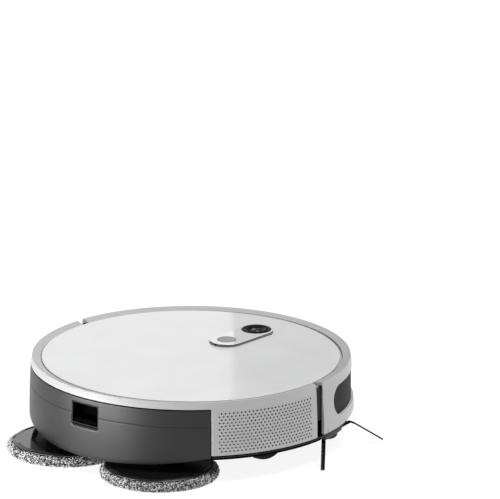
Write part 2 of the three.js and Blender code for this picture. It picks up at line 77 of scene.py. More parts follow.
def wheel_size(node):
    """Radius and half width of a CAD node that turns about a level axis across the robot."""
    size = size_mm(node)
    return size.z / 2, size.x / 2


# ---- driving dimensions, in millimetres and degrees ----
BODY_R = 165.0
SHELL_T = 2.2
BUMPER_R = 166.2
BUMPER_IN = 163.0
BUMPER_END = 84.0
PANEL_START = 87.3
PANEL_Z, RIM_Z = heights("upper_shell")
RECESS_R = 153.3
RECESS_Z = 84.6
PLATE_R = size_mm("top_plate").x / 2
PLATE_FOOT, PLATE_Z = heights("top_plate")
DECK_Z = 82.3
TANK_HALF = 48.3
TANK_TOP = heights("tank_cover")[1]
TANK_SPLIT = 60.7
TANK_FLOOR = 47.0
TANK_T = 2.4
TRAY_HALF = 84.0
TRAY_T = 2
SEAM = 0.08  # half the width of the joint between the tank and its cover
SEAM_ROUND = 0.2
POCKET_HALF = size_mm("pocket_liner").x / 2
POCKET_GAP = 0.12
POCKET_Z = heights("pocket_liner")
WINDOW_Z = centre_mm("bumper_window").z
WINDOW_R = size_mm("bumper_window").z / 2
WINDOW_END = 71.4
WINDOW_FLOOR = 163.3
LIP = {"z": 34.95, "half": 3.35, "end": 80.4, "proud": 0.45}
BACKING_R = 157.4
BACKING_SPLIT = 46.2
EDGE_R = (158.5, 163.0, 164.1)  # the base pan's edge: inside, and outside at its foot and its top
EDGE_Z = (27.4, 29.6)
DECK_EDGE = 159.2
# extent of the near-black sheet behind the grille, which paints the shade inside it
SHADE_SHEET = {"low": 33.4, "high": 75.2, "start": 90.7, "end": 128.4}
CURL = [(0, 0.55), (0.05, 0.22), (0.16, 0.05), (0.35, 0)]  # degrees past a panel's front edge, and its curl
SCREWS = [(-74, 112), (74, 112), (-100, 60), (100, -58), (-52, -42), (52, -42), (0, 36)]
BUTTON = centre_mm("power_button")
LENS = centre_mm("camera_lens")
HUB = centre_mm("side_brush_hub")
BRUSH_REACH = 67.5
BRUSH_ARMS = {1: -50.5, 2: 69.5, 3: 189.5}  # anticlockwise from +X
ARM_START = 0.16  # where the bristles leave the hub, as a part of the reach
ARM_HALF = 1.85
ROLLER = Vector((0, *centre_mm("roller_core").yz))
STRIP_HALF = 75
STRIP_TWIST = 70  # degrees from the middle of a strip to its end
PAD_R = size_mm("mop_pad_left").x / 2
PAD_TOP = heights("mop_pad_left")[1]
MOP_R = size_mm("mop_plate_left").x / 2
EDGE_LOOPS = 4300  # loops of yarn round a pad's edge
SOLE_LOOPS = 1200  # and under it
YARN_SHARES = (5, 2, 3)  # light, mid and dark


# ---- materials ----
class Nodes:
    """A Principled material that its maker adds procedural detail to."""

    def __init__(self, name, roughness, **values):
        """values sets inputs of the shader by their names, with _ for a space."""
        self.material = bpy.data.materials.new(name)
        self.material.use_nodes = True
        self.tree = self.material.node_tree
        self.shader = self.tree.nodes["Principled BSDF"]
        for key, value in {"Roughness": roughness, **values}.items():
            self.shader.inputs[key.replace("_", " ")].default_value = value
        self.coords = self.tree.nodes.new("ShaderNodeTexCoord").outputs["Object"]

    def node(self, kind, **settings):
        made = self.tree.nodes.new(kind)
        for key, value in settings.items():
            if key in made.inputs:
                made.inputs[key].default_value = value
            else:
                setattr(made, key, value)
        return made

    def link(self, output, target):
        self.tree.links.new(output, target)

    def noise(self, scale, detail=2.0, roughness=0.5):
        made = self.node("ShaderNodeTexNoise", Scale=scale, Detail=detail, Roughness=roughness)
        self.link(self.coords, made.inputs["Vector"])
        return made.outputs["Fac"]

    def tint(self, value, dark, light, low=0.3, high=0.7):
        """Base colour that runs from dark to light with a value."""
        ramp = self.tree.nodes.new("ShaderNodeValToRGB")
        for element, at, colour in zip(ramp.color_ramp.elements, (low, high), (dark, light)):
            element.position, element.color = at, (*colour, 1)
        self.link(value, ramp.inputs["Fac"])
        self.link(ramp.outputs["Color"], self.shader.inputs["Base Color"])

    def gloss(self, value, smooth, rough):
        """Roughness that runs from smooth to rough with a value."""
        made = self.node("ShaderNodeMapRange", **{"To Min": smooth, "To Max": rough})
        self.link(value, made.inputs["Value"])
        self.link(made.outputs["Result"], self.shader.inputs["Roughness"])

    def bump(self, value, depth_mm, strength=1.0):
        made = self.node("ShaderNodeBump", Strength=strength, Distance=depth_mm * MM)
        self.link(value, made.inputs["Height"])
        self.link(made.outputs["Normal"], self.shader.inputs["Normal"])


def grey(value, warmth=0.0):
    return (value * (1 + warmth), value, value * (1 - warmth))


def moulded(name, tone, roughness, grain_mm=0.6, depth_mm=0.004, coat=0.0, specular=0.5):
    """Moulded plastic: fine grain, a little drift in tone, and uneven gloss."""
    made = Nodes(name, roughness, Specular_IOR_Level=specular, Coat_Weight=coat, Coat_Roughness=0.04)
    made.tint(made.noise(18, 3), grey(tone * 0.97, -0.004), grey(tone * 1.03, -0.004))
    made.gloss(made.noise(60, 4), roughness * 0.88, roughness * 1.12)
    made.bump(made.noise(1 / (grain_mm * MM), 2), depth_mm)
    return made.material


def textured(name, tone, roughness, specular=0.3):
    """Spark-eroded black plastic, as on an underside."""
    made = Nodes(name, roughness, Specular_IOR_Level=specular)
    grain = 1 / (0.8 * MM)
    made.tint(made.noise(grain, 4, 0.6), grey(tone * 0.7), grey(tone * 1.5))
    made.gloss(made.noise(90, 4), roughness * 0.85, roughness * 1.15)
    made.bump(made.noise(grain, 3, 0.6), 0.03)
    return made.material


def rubber(name, tone):
    """Dull rubber with a dusty, uneven skin."""
    made = Nodes(name, 0.75, Specular_IOR_Level=0.2)
    made.tint(made.noise(150, 4, 0.6), grey(tone * 0.75), grey(tone * 1.3))
    made.gloss(made.noise(45, 3), 0.62, 0.86)
    made.bump(made.noise(1400, 3, 0.6), 0.03)
    return made.material


def strand(name, tone):
    """Microfibre yarn: it varies from strand to strand, with a fine fuzz."""
    made = Nodes(name, 0.95, Sheen_Weight=0.25, Sheen_Roughness=0.5)
    made.tint(made.noise(1500, 3, 0.7), grey(tone * 0.4), grey(tone * 1.5), 0.35, 0.65)
    made.bump(made.noise(2600, 3, 0.6), 0.12)
    return made.material


def metal(name, tone, roughness, warmth=0.0):
    """Plated metal: fine uneven tone, with wear in its gloss."""
    made = Nodes(name, roughness, Metallic=1.0)
    made.tint(made.noise(700, 3), grey(tone * 0.9, warmth), grey(tone * 1.05, warmth))
    made.gloss(made.noise(120, 4), roughness * 0.7, roughness * 1.3)
    made.bump(made.noise(1400, 2), 0.006)
    return made.material


def smoked(name, tone, roughness=0.18, coat=0.5, specular=0.5):
    """Dark see-through plastic, slightly uneven in tone."""
    made = Nodes(name, roughness, Specular_IOR_Level=specular, Coat_Weight=coat, Coat_Roughness=0.05)
    made.tint(made.noise(25, 2), grey(tone * 0.9), grey(tone * 1.1))
    made.gloss(made.noise(50, 3), roughness * 0.8, roughness * 1.2)
    made.bump(made.noise(900, 2), 0.002)
    return made.material


def circuit(name):
    """Solder mask over copper tracks."""
    made = Nodes(name, 0.35)
    tracks = made.node("ShaderNodeTexBrick", Scale=260.0, **{"Mortar Size": 0.03})
    made.link(made.coords, tracks.inputs["Vector"])
    made.tint(tracks.outputs["Fac"], (0.012, 0.075, 0.03), (0.03, 0.16, 0.07))
    made.bump(tracks.outputs["Fac"], 0.05)
    return made.material


def pleated(name):
    """Folded filter cloth."""
    made = Nodes(name, 0.9)
    wave = made.node("ShaderNodeTexWave", Scale=120.0, Distortion=0.4)
    made.link(made.coords, wave.inputs["Vector"])
    made.tint(wave.outputs["Fac"], grey(0.5, 0.02), grey(0.78, 0.02))
    made.bump(wave.outputs["Fac"], 0.6)
    return made.material


WHITE = moulded("white_plastic", 0.42, 0.34, coat=0.1, specular=0.35)
TOP_GLOSS = moulded("white_lacquer", 0.69, 0.14, grain_mm=2.5, depth_mm=0.002, coat=0.15)
ISLAND = moulded("island_lacquer", 0.74, 0.05, grain_mm=2.5, depth_mm=0.0003, coat=1.0)
DARK_GREY = moulded("dark_grey_plastic", 0.010, 0.42, specular=0.45)
WINDOW = smoked("infrared_window", 0.034, roughness=0.5, coat=0.0, specular=0.02)
BLACK = textured("black_plastic", 0.010, 0.55)
EDGE_GREY = moulded("pan_edge_plastic", 0.035, 0.5, specular=0.15)
GAP_GREY = moulded("gap_grey_plastic", 0.03, 0.6, specular=0.1)
# Near-black with no gloss at all: painted shade, for the dark behind the grille, the joint round the tank,
# the low part of the bumper's gap, the pan edge under the bumper, the reset slot and the depth of the finger
# pocket. The release bar is drawn in it too.
SHADOW_BLACK = textured("shadow_black_plastic", 0.0022, 0.85, specular=0.0)
RING_BLACK = moulded("camera_ring_black", 0.004, 0.24, depth_mm=0.001, specular=0.15)
GLOSS_BLACK = moulded("gloss_black_plastic", 0.006, 0.1, depth_mm=0.002, coat=0.6)
SILVER = moulded("silver_satin", 0.25, 0.28, coat=0.1)
# Satin grey plastic for the console's chrome trim: its grey paints the trim's dark reflection.
TRIM = moulded("satin_trim", 0.13, 0.4, depth_mm=0.002)
SMOKED = smoked("smoked_lens", 0.012)
RUBBER = rubber("moulded_rubber", 0.016)
TYRE = rubber("tyre_rubber", 0.009)
STEEL = metal("plated_steel", 0.55, 0.32)
CONTACT = metal("contact_plating", 0.72, 0.22, warmth=0.06)
BRISTLE = moulded("nylon_bristle", 0.005, 0.5, specular=0.2)
YARN_LIGHT = strand("yarn_light", 0.58)
YARN_MID = strand("yarn_mid", 0.22)
YARN_DARK = strand("yarn_dark", 0.035)
BOARD = circuit("circuit_board")
FILTER = pleated("filter_cloth")

SLOT_MATERIALS = {
    "white_shell": WHITE, "top_gloss": TOP_GLOSS, "dark_grey_plastic": DARK_GREY,
    "window_grey": WINDOW, "black_plastic": BLACK, "gloss_black": GLOSS_BLACK, "button_grey": SILVER,
    "dark_clear": SMOKED, "soft_rubber": RUBBER, "tyre_rubber": TYRE, "mop_fabric": YARN_MID,
    "filter_cloth": FILTER, "bristle": BRISTLE, "board": BOARD, "steel": STEEL,
    "contact_metal": CONTACT,
}


def dress_cad():
    """Every carried-over CAD node gets the procedural material of its slot."""
    slots = {part["node"]: part["material_slot"] for part in frame["record"]["subparts"]}
    for name, node in frame["nodes"].items():
        for held in node.material_slots:
            held.material = SLOT_MATERIALS[slots[name]]


# ---- mesh making ----
def polar(angle, r, z):
    return (r * sin(radians(angle)), r * cos(radians(angle)), z)


def spread(start, stop, count):
    """count + 1 values from start to stop."""
    return [start + (stop - start) * i / count for i in range(count + 1)]


def fillet(points, closed=False, steps=4):
    """Polyline of (u, v, radius) corners, with each corner turned into an arc."""
    out = []
    count = len(points)
    for i, (u, v, radius) in enumerate(points):
        ends = not closed and i in (0, count - 1)
        if radius == 0 or ends:
            out.append((u, v))
            continue
        here = Vector((u, v))
        back = Vector(points[i - 1][:2]) - here
        ahead = Vector(points[(i + 1) % count][:2]) - here
        half = back.angle(ahead) / 2
        reach = min(radius / tan(half), back.length * 0.49, ahead.length * 0.49)
        start, stop = here + back.normalized() * reach, here + ahead.normalized() * reach
        for t in spread(0, 1, steps):
            point = start * (1 - t) ** 2 + here * 2 * t * (1 - t) + stop * t ** 2
            out.append((point.x, point.y))
    return out


def loft(bm, loops, ring=True, wrap=False, cap=False, material=0):
    """Faces between neighbouring loops. ring closes each loop, and wrap joins the last loop to the first."""
    rows = [[bm.verts.new(p) for p in loop] for loop in loops]
    for a, b in zip(rows, rows[1:] + rows[:1] if wrap else rows[1:]):
        count = len(a)
        for i in range(count if ring else count - 1):
            j = (i + 1) % count
            bm.faces.new((a[i], a[j], b[j], b[i])).material_index = material
    if cap:
        for row in (rows[0], rows[-1]):
            bm.faces.new(row).material_index = material
    return rows


def lathe(bm, profile, x=0.0, y=0.0, segments=160, closed=False, material=0):
    """Turns a profile of (r, z) about an upright axis."""
    loops = []
    for k in range(segments):
        a = 2 * pi * k / segments
        loops.append([(x + r * sin(a), y + r * cos(a), z) for r, z in profile])
    loft(bm, loops, ring=closed, wrap=True, material=material)


def level_polar(centre, x, r, turn):
    """Point at an angle round a level axis that runs across the robot."""
    return Vector((centre.x + x, centre.y + r * sin(turn), centre.z + r * cos(turn)))


def lathe_across(bm, profile, centre, segments=96):
    """Turns a profile of (x, r) about a level axis that runs across the robot."""
    turns = [2 * pi * k / segments for k in range(segments)]
    loft(bm, [[level_polar(centre, x, r, turn) for x, r in profile] for turn in turns], ring=False, wrap=True)


def mirrored(corners):
    """The same corners on the other side, so that the two make one outline."""
    return [(-x, r, bend) for x, r, bend in reversed(corners)]


def arc_bar(bm, section, start, stop, count):
    """Bar round the body's axis: section gives its outline, as (r, z), between two angles."""
    loft(bm, [[polar(a, r, z) for r, z in section] for a in spread(start, stop, count)], cap=True)


def add(name, data):
    made = bpy.data.objects.new(name, data)
    bpy.context.scene.collection.objects.link(made)
    return made


def put(name, bm, body, materials, replaces=(), sharp=32, outward=True, bevel=0.0, shell=0.0,
        thin=None):
    """Moves a drawing into the frame and makes it a piece that rides on a body.

    shell gives a skin its thickness, and thin(point) says where it is only an eighth of that.
    """
    bmesh.ops.remove_doubles(bm, verts=bm.verts, dist=0.004)
    bmesh.ops.dissolve_degenerate(bm, edges=bm.edges, dist=0.002)
    if outward:
        bmesh.ops.recalc_face_normals(bm, faces=bm.faces)
    thick_verts = [i for i, v in enumerate(bm.verts) if thin and not thin(v.co)]
    bmesh.ops.transform(bm, matrix=Matrix.Translation(AXIS) @ Matrix.Scale(MM, 4), verts=bm.verts)
    mesh = bpy.data.meshes.new(name)
    bm.to_mesh(mesh)
    bm.free()
    for material in materials:
        mesh.materials.append(material)
    mesh.shade_smooth()
    mesh.set_sharp_from_angle(angle=radians(sharp))
    piece = add(name, mesh)
    if shell:
        thick = piece.modifiers.new("wall", "SOLIDIFY")
        thick.thickness = shell * MM
        thick.offset = -1
        if thin:
            piece.vertex_groups.new(name="full").add(thick_verts, 1.0, "REPLACE")
            thick.vertex_group = "full"
            thick.thickness_vertex_group = 0.12
    if bevel:
        edge = piece.modifiers.new("edges", "BEVEL")
        edge.width = bevel * MM
        edge.segments = 2
        edge.limit_method = "ANGLE"
        edge.angle_limit = radians(50)
    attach(piece, body)
    if replaces:
        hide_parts(*replaces)
    return piece


# ---- casing ----
def wall_r(z):
    """Radius of the side wall: it leans in a little as it rises, and more along the rim."""
    return BODY_R - 1.3 * (max(z - 34, 0) / 44.2) ** 1.7 - 0.011 * max(z - 76, 0) ** 2


def bumper_r(z):
    """The bumper's wall leans in above its window, and stands proud below it."""
    t = min(max((z - 42) / 32, 0), 1)
    return BUMPER_R - 1.75 * t * t * (3 - 2 * t) - 0.008 * max(z - 76, 0) ** 2


def rim(radius, z_start, lip_r, floor_z):
    """Rim from the side wall over its crisp crest and down the dished slope to the top plate."""
    wall = [(radius(z), z, 0) for z in spread(z_start, 85.6, 7)]
    top = radius(86.5)
    return fillet(wall + [(top, RIM_Z, 0.9), (lip_r, RECESS_Z, 0.4), (lip_r, floor_z, 0)], steps=6)


HOLE = {"r": 0.94, "pitch": 4.25, "row_pitch": 3.325, "start": 90.16, "z0": 32.74, "rows": 13, "columns": 53}
HALF_STEP = degrees(HOLE["pitch"] / 2 / BODY_R)


def grille_angle(step):
    return HOLE["start"] + step * HALF_STEP


def grille_z(row):
    return HOLE["z0"] + row * HOLE["row_pitch"]


def hole_cell(bm, step, row):
    """One cell of the exhaust grille: six corners round a twelve-sided hole."""
    z0, z1 = grille_z(row), grille_z(row + 1)
    corners = [(2, z1), (1, z1), (0, z1), (0, z0), (1, z0), (2, z0)]
    outer = [bm.verts.new(polar(grille_angle(step + s), wall_r(z), z)) for s, z in corners]
    middle, height = grille_angle(step + 1), (z0 + z1) / 2
    inner = []
    for k in range(12):
        a = radians(30 * k)
        turn = degrees(HOLE["r"] * cos(a) / BODY_R)
        z = height + HOLE["r"] * sin(a)
        inner.append(bm.verts.new(polar(middle + turn, wall_r(z), z)))
    for k in range(6):
        first = 2 * k + 1
        ring = [inner[(first + 2 - n) % 12] for n in range(3)]
        bm.faces.new((outer[k], outer[(k + 1) % 6], *ring))


def grille(bm):
    for row in range(HOLE["rows"]):
        odd = row % 2
        for cell in range(HOLE["columns"] // 2):
            hole_cell(bm, 2 * cell + odd, row)
        blank = 0 if odd else HOLE["columns"] - 1
        corners = [(blank, row), (blank, row + 1), (blank + 1, row + 1), (blank + 1, row)]
        edge = [(grille_angle(s), grille_z(r)) for s, r in corners]
        bm.faces.new([bm.verts.new(polar(angle, wall_r(z), z)) for angle, z in edge])


def in_grille_field(point):
    """True where a point of the casing lies within the exhaust grille's outline."""
    slack = 0.01
    angle = degrees(atan2(point.x, point.y))
    inside = HOLE["start"] - slack < angle < grille_angle(HOLE["columns"]) + slack
    return inside and grille_z(0) - slack < point.z < grille_z(HOLE["rows"]) + slack


def face_out(bm):
    """Turns the faces of an open wall round the body's axis outward."""
    bmesh.ops.recalc_face_normals(bm, faces=bm.faces)
    if sum(f.normal.dot(Vector((*f.calc_center_median().xy, 0))) for f in bm.faces) < 0:
        bmesh.ops.reverse_faces(bm, faces=bm.faces)


def weave(bm, columns, gap):
    """Faces between columns of points, except where gap(column, row) is true."""
    columns = [[bm.verts.new(p) for p in points] for points in columns]
    for i, (a, b) in enumerate(zip(columns, columns[1:])):
        for j in range(len(a) - 1):
            if not gap(i, j):
                bm.faces.new((a[j], b[j], b[j + 1], a[j + 1]))
    bmesh.ops.delete(bm, geom=[v for v in bm.verts if not v.link_faces], context="VERTS")


def shell_columns(corner):
    """Angles across the casing, from its right front edge round the rear to its left front edge."""
    left = 360 - PANEL_START
    columns = [PANEL_START + a for a, _ in CURL]
    columns += spread(PANEL_START + 1.2, HOLE["start"], 2)
    columns += [grille_angle(s) for s in range(1, HOLE["columns"] + 1)]
    columns += spread(grille_angle(HOLE["columns"]), corner, 3)[1:] + spread(corner, 360 - corner, 90)[1:]
    columns += spread(360 - corner, left - 1.2, 44)[1:]
    return columns + [left - a for a, _ in reversed(CURL)]


def upper_shell():
    """Rim and side panels, with the exhaust grille in the right one."""
    bm = bmesh.new()
    corner = 180 - TANK_HALF - 0.25
    columns = shell_columns(corner)
    low = [(BODY_R - 1.4, PANEL_Z), (BODY_R - 0.45, PANEL_Z), (BODY_R - 0.1, PANEL_Z + 0.15),
           (BODY_R, PANEL_Z + 0.5), (BODY_R, PANEL_Z + 1.4)]
    wall = [(wall_r(grille_z(r)), grille_z(r)) for r in range(HOLE["rows"] + 1)]
    path = low + wall + rim(wall_r, TANK_TOP + 1.2, RECESS_R, DECK_Z)
    first_rim = len(low) + len(wall)

    def outline(angle):
        past = min(angle, 360 - angle) - PANEL_START
        inward = next((d for a, d in CURL if abs(a - past) < 1e-6), 0)
        return [polar(angle, r - inward, z) for r, z in path]

    def gap(i, j):
        middle = (columns[i] + columns[i + 1]) / 2
        if HOLE["start"] < middle < grille_angle(HOLE["columns"]):
            return len(low) <= j < first_rim - 1
        return corner < middle < 360 - corner and j < first_rim

    weave(bm, [outline(a) for a in columns], gap)
    grille(bm)
    bmesh.ops.remove_doubles(bm, verts=bm.verts, dist=0.01)
    face_out(bm)
    put("upper_shell_skin", bm, "chassis", [WHITE], ["upper_shell"], outward=False,
        shell=SHELL_T, thin=in_grille_field)


def deck_ring():
    """Ledge under the edge of the top plate."""
    bm = bmesh.new()
    lathe(bm, [(120, DECK_Z - 2), (DECK_EDGE, DECK_Z - 2), (DECK_EDGE, DECK_Z), (120, DECK_Z)], closed=True)
    put("deck_ring", bm, "chassis", [WHITE])


def exhaust_shade_sheet():
    """Near-black sheet close behind the grille: painted shade for the dark inside seen through the holes."""
    bm = bmesh.new()
    up = spread(SHADE_SHEET["low"], SHADE_SHEET["high"], 8)
    section = [(wall_r(z) - 1.3, z) for z in up] + [(wall_r(z) - 0.55, z) for z in reversed(up)]
    arc_bar(bm, section, SHADE_SHEET["start"], SHADE_SHEET["end"], 40)
    put("exhaust_shade_sheet", bm, "chassis", [SHADOW_BLACK])


def tank_joint_shade():
    """Near-black strip in the joint between the rim and the tank: painted shadow in that joint."""
    bm = bmesh.new()
    half = TANK_HALF + 0.2
    arc_bar(bm, [(160.6, 77.2), (162.7, 77.2), (162.7, 80.2), (160.6, 80.2)], 180 - half, 180 + half, 60)
    put("tank_joint_shade_strip", bm, "chassis", [SHADOW_BLACK])


def top_plate():
    """Lacquered plate with a round edge and a slight crown."""
    bm = bmesh.new()
    edge = fillet([(0, PLATE_FOOT, 0), (PLATE_R - 0.3, PLATE_FOOT, 0), (PLATE_R, PLATE_FOOT + 0.4, 0.2),
                   (PLATE_R, 85.35, 0.6), (PLATE_R - 3, 85.5, 2.5)], steps=5)[:-1]
    crown = [(r, PLATE_Z - (PLATE_Z - 85.5) * (r / (PLATE_R - 3)) ** 2) for r in spread(PLATE_R - 3, 0, 14)]
    lathe(bm, edge + crown, segments=256)
    put("top_plate_lacquered", bm, "chassis", [TOP_GLOSS], ["top_plate"])


# ---- bumper ----
def band_half(angle, half, end):
    """Half height of a band round the bumper at an angle: full along its length, round at both ends."""
    over = radians(abs(angle) - end) * BUMPER_R
    return half if over <= 0 else sqrt(max(half ** 2 - over ** 2, 0))


def window_columns():
    """Angles across the window, close together where its ends are round."""
    end = [WINDOW_END + degrees(WINDOW_R / BUMPER_R * sin(t)) for t in spread(0, pi / 2, 16)]
    return [-a for a in reversed(end)] + spread(-WINDOW_END, WINDOW_END, 120)[1:-1] + end


def bumper_profile(angle):
    """Outline (r, z) of the bumper at an angle: foot, raised band, window groove, wall and rim."""
    half = band_half(angle, WINDOW_R, WINDOW_END)
    low, high = WINDOW_Z - half, WINDOW_Z + half
    lip = band_half(angle, LIP["half"], LIP["end"])
    proud = LIP["proud"] if lip > 0 else 0
    band = [(0, -lip), (proud, -lip + 0.25 * proud), (proud, lip - 0.5 * proud), (0, lip)]
    foot = [(BUMPER_IN, 31), (BUMPER_R - 0.5, 31), (BUMPER_R - 0.12, 31.1), (BUMPER_R, 31.35)]
    foot += [(BUMPER_R + out, LIP["z"] + up) for out, up in band]
    below = [(bumper_r(z), z) for z in spread(39.5, low, 4)]
    floor = [(WINDOW_FLOOR, z) for z in spread(low, high, 8)]
    above = [(bumper_r(z), z) for z in spread(high, 77, 5)]
    lip_in = 3 * cos(radians(angle)) + RECESS_R
    top = rim(bumper_r, 78, lip_in, 82.75)
    groove = floor if half > 0 else [(bumper_r(WINDOW_Z), WINDOW_Z)] * len(floor)
    return foot + below + groove + above + top + [(161.9, 82.8), (BUMPER_IN, 82.1)]


def bumper():
    """Bumper moulding, and the window that lies in its groove."""
    tip = LIP["end"] + degrees(LIP["half"] / BUMPER_R)
    side = [BUMPER_END, BUMPER_END - 0.1] + spread(BUMPER_END - 0.6, tip, 4)
    side += [LIP["end"] + (tip - LIP["end"]) * cos(t) for t in spread(0, pi / 2, 8)[1:]]
    side += spread(LIP["end"], window_columns()[-1], 4)[1:-1]
    columns = [-a for a in side] + window_columns() + side[::-1]
    bm = bmesh.new()
    loft(bm, [[polar(a, r, z) for r, z in bumper_profile(a)] for a in columns], cap=True)
    put("bumper_moulding", bm, "bumper", [WHITE], ["bumper_shell"], bevel=0.28)
    bm = bmesh.new()
    loops = []
    for a in window_columns():
        half = max(band_half(a, WINDOW_R, WINDOW_END) - 0.12, 0.01)
        low, high = WINDOW_Z - half, WINDOW_Z + half
        back = [(WINDOW_FLOOR - 0.2, high), (WINDOW_FLOOR - 0.2, low)]
        face = [(WINDOW_FLOOR + 0.5, z) for z in spread(low, high, 8)]
        loops.append([polar(a, r, z) for r, z in back + face])
    loft(bm, loops, cap=True)
    put("bumper_window_lens", bm, "bumper", [WINDOW], ["bumper_window"], bevel=0.15)


def bumper_backing():
    """Fixed wall behind the bumper, with a strip at each end that closes the gap beside the side panel."""
    low, high = heights("bumper_backing")
    first = BUMPER_END - 1.1
    # The upper tier is the backing's dark grey; the lower tier is near-black without gloss: painted shade low
    # in the gap beside the side panel.
    tiers = (("upper", BACKING_SPLIT, high, GAP_GREY, ["bumper_backing"]),
             ("lower", low, BACKING_SPLIT, SHADOW_BLACK, []))
    for name, bottom, top, material, stands_for in tiers:
        bm = bmesh.new()
        strip = [(BACKING_R, bottom), (161.6, bottom), (161.9, bottom + 0.3), (161.9, top - 0.3),
                 (161.6, top), (BACKING_R, top)]
        for sign in (-1, 1):
            arc_bar(bm, strip, sign * first, sign * 89.4, 8)
        wall = [(BACKING_R, bottom), (159.2, bottom), (159.2, top), (BACKING_R, top)]
        arc_bar(bm, wall, -first, first, 120)
        put(f"bumper_backing_{name}", bm, "chassis", [material], stands_for)


def ease(t):
    """0 to 1 with soft ends."""
    t = min(max(t, 0), 1)
    return t * t * (3 - 2 * t)


def pan_edge():
    """Edge of the pan: low under the panels, lowest beside the side brush, and clear of the brush's arms."""
    bm = bmesh.new()
    loops = []
    inner, middle, outer = EDGE_R
    for a in spread(-131.5, 131.5, 526):
        low = EDGE_Z[0] - 4.8 * ease((a - 66.3) / 2.2) * ease((82.5 - a) / 1.5)
        low -= 2.4 * ease((abs(a) - 83) / 2)
        corners = [(inner, low, 0.5), (middle, low, 0.9), (outer, EDGE_Z[1], 0), (inner, EDGE_Z[1], 0)]
        loops.append([polar(a, r, z) for r, z in fillet(corners, closed=True, steps=3)])
    loft(bm, loops, cap=True)
    # Under the bumper the edge is near-black without gloss: painted shade beneath the bumper.
    under_bumper = 162 * cos(radians(83))
    for face in bm.faces:
        face.material_index = 1 if face.calc_center_median().y < under_bumper else 0
    put("base_pan_edge", bm, "chassis", [EDGE_GREY, SHADOW_BLACK])


# ---- console ----
def capsule(y0, y1, r, z, count=28):
    """Outline round two circles on the centreline."""
    rear = [(r * cos(t), y0 + r * sin(t), z) for t in spread(pi, 2 * pi, count)]
    front = [(r * cos(t), y1 + r * sin(t), z) for t in spread(0, pi, count)]
    return rear + front


def circle(y, r, z, count=64):
    """Outline round one circle on the centreline."""
    angles = [2 * pi * k / count for k in range(count)]
    return [(r * cos(t), y + r * sin(t), z) for t in angles]


def console_island(base, top, r):
    """Capsule with a round top edge, a wall whose chrome trim is drawn in satin grey plastic as a painted
    reflection, and holes for the button and the camera.
    """
    bm = bmesh.new()
    wall = [(0, base), (0, top - 0.7), (0.08, top - 0.42), (0.3, top - 0.16), (0.62, top - 0.04), (0.95, top),
            (1.15, top)]
    rows = loft(bm, [capsule(BUTTON.y, LENS.y, r - inset, z) for inset, z in wall])
    for face in bm.faces:
        face.material_index = 1 if face.calc_center_median().z < top - 0.5 else 0
    rims = [rows[-1]]
    for y, hole in ((BUTTON.y, 9.95), (LENS.y, 15.4)):
        wall = [(0.5, top), (0.35, top), (0.1, top - 0.1), (0, top - 0.4), (0, base)]
        rims.append(loft(bm, [circle(y, hole + out, z) for out, z in wall])[0])
    edges = [bm.edges.get((loop[i], loop[(i + 1) % len(loop)])) for loop in rims for i in range(len(loop))]
    bmesh.ops.triangle_fill(bm, use_beauty=True, edges=edges, normal=(0, 0, 1))
    put("console_island_trimmed", bm, "chassis", [ISLAND, TRIM], ["console_island"], sharp=40)


def console():
    low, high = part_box("console_island")
    r = (high.x - low.x) / 2 / MM
    base, top = low.z / MM - 0.3, high.z / MM
    console_island(base, top, r)
    bm = bmesh.new()
    face = top + 0.25
    dished = fillet([(0, base + 1.5, 0), (9.6, base + 1.5, 0), (9.6, face, 0.5), (8.7, face + 0.1, 0.4),
                     (8.2, face - 0.12, 0.4), (0, face - 0.35, 0)], steps=5)
    lathe(bm, dished, 0, BUTTON.y, 96)
    put("power_button_cap", bm, "button", [SILVER], ["power_button"])
    # Near-black notch in the rear of the island: painted shade for the inside of the reset slot.
    bm = bmesh.new()
    notch = fillet([(-1.7, -0.5, 0.4), (1.7, -0.5, 0.4), (1.7, 0.5, 0.4), (-1.7, 0.5, 0.4)], closed=True)
    rear = BUTTON.y - r
    loops = [[(u, y, top - 1.5 + v) for u, v in notch] for y in (rear - 0.06, rear + 1.0)]
    loft(bm, loops, cap=True)
    put("console_reset_slot_shade", bm, "chassis", [SHADOW_BLACK])
    camera_parts(base, top)


def camera_parts(base, top):
    """Stepped ring round the camera, and its domed lens."""
    bm = bmesh.new()
    ring = fillet([
        (5.8, base, 0), (15.1, base, 0), (15.1, top + 0.3, 0.6), (13.4, top + 0.38, 0.5),
        (12.6, top - 0.1, 0.3), (11.9, top - 0.1, 0.2), (11.3, top + 0.3, 0.4), (9.6, top + 0.2, 0.5),
        (7.2, top - 1.2, 0.3), (6.9, top - 0.8, 0.2), (5.8, top - 1.0, 0.2)], closed=True)
    lathe(bm, ring, 0, LENS.y, 128, closed=True)
    put("camera_bezel_ring", bm, "chassis", [RING_BLACK], ["camera_bezel"])
    bm = bmesh.new()
    dome = [(5.3 * cos(t), top - 1.1 + 1.5 * sin(t)) for t in spread(0, pi / 2, 12)]
    lathe(bm, [(0, base), (5.3, base)] + dome, 0, LENS.y, 64)
    put("camera_lens_glass", bm, "chassis", [SMOKED], ["camera_lens"])


# ---- rear tank ----
def lower_edge(angle):
    """Height of the tank's lower edge at an angle from the rear."""
    return 17 + 11 * (angle / TANK_HALF) ** 2


def pocket_angle():
    """Half the angle that the finger pocket takes up."""
    return degrees(asin((POCKET_HALF + POCKET_GAP) / BODY_R))


def tank_columns():
    """Angles across the tank from the rear, with a column at each side of the pocket."""
    pocket = pocket_angle()
    side = [pocket + 0.02] + spread(pocket + 0.6, TANK_HALF - 0.4, 40)
    side += [TANK_HALF - 0.2, TANK_HALF - 0.08, TANK_HALF]
    return [-a for a in reversed(side)] + spread(-pocket, pocket, 16) + side


def skin_edge(end, direction):
    """Points that round the skin's edge over, from its inner face to its outer one."""
    r = wall_r(end)
    corner = [(r - 0.05, end + 0.06 * direction), (r, end + SEAM_ROUND * direction)]
    return [(r - 1.6, end), (r - 0.18, end)] + corner


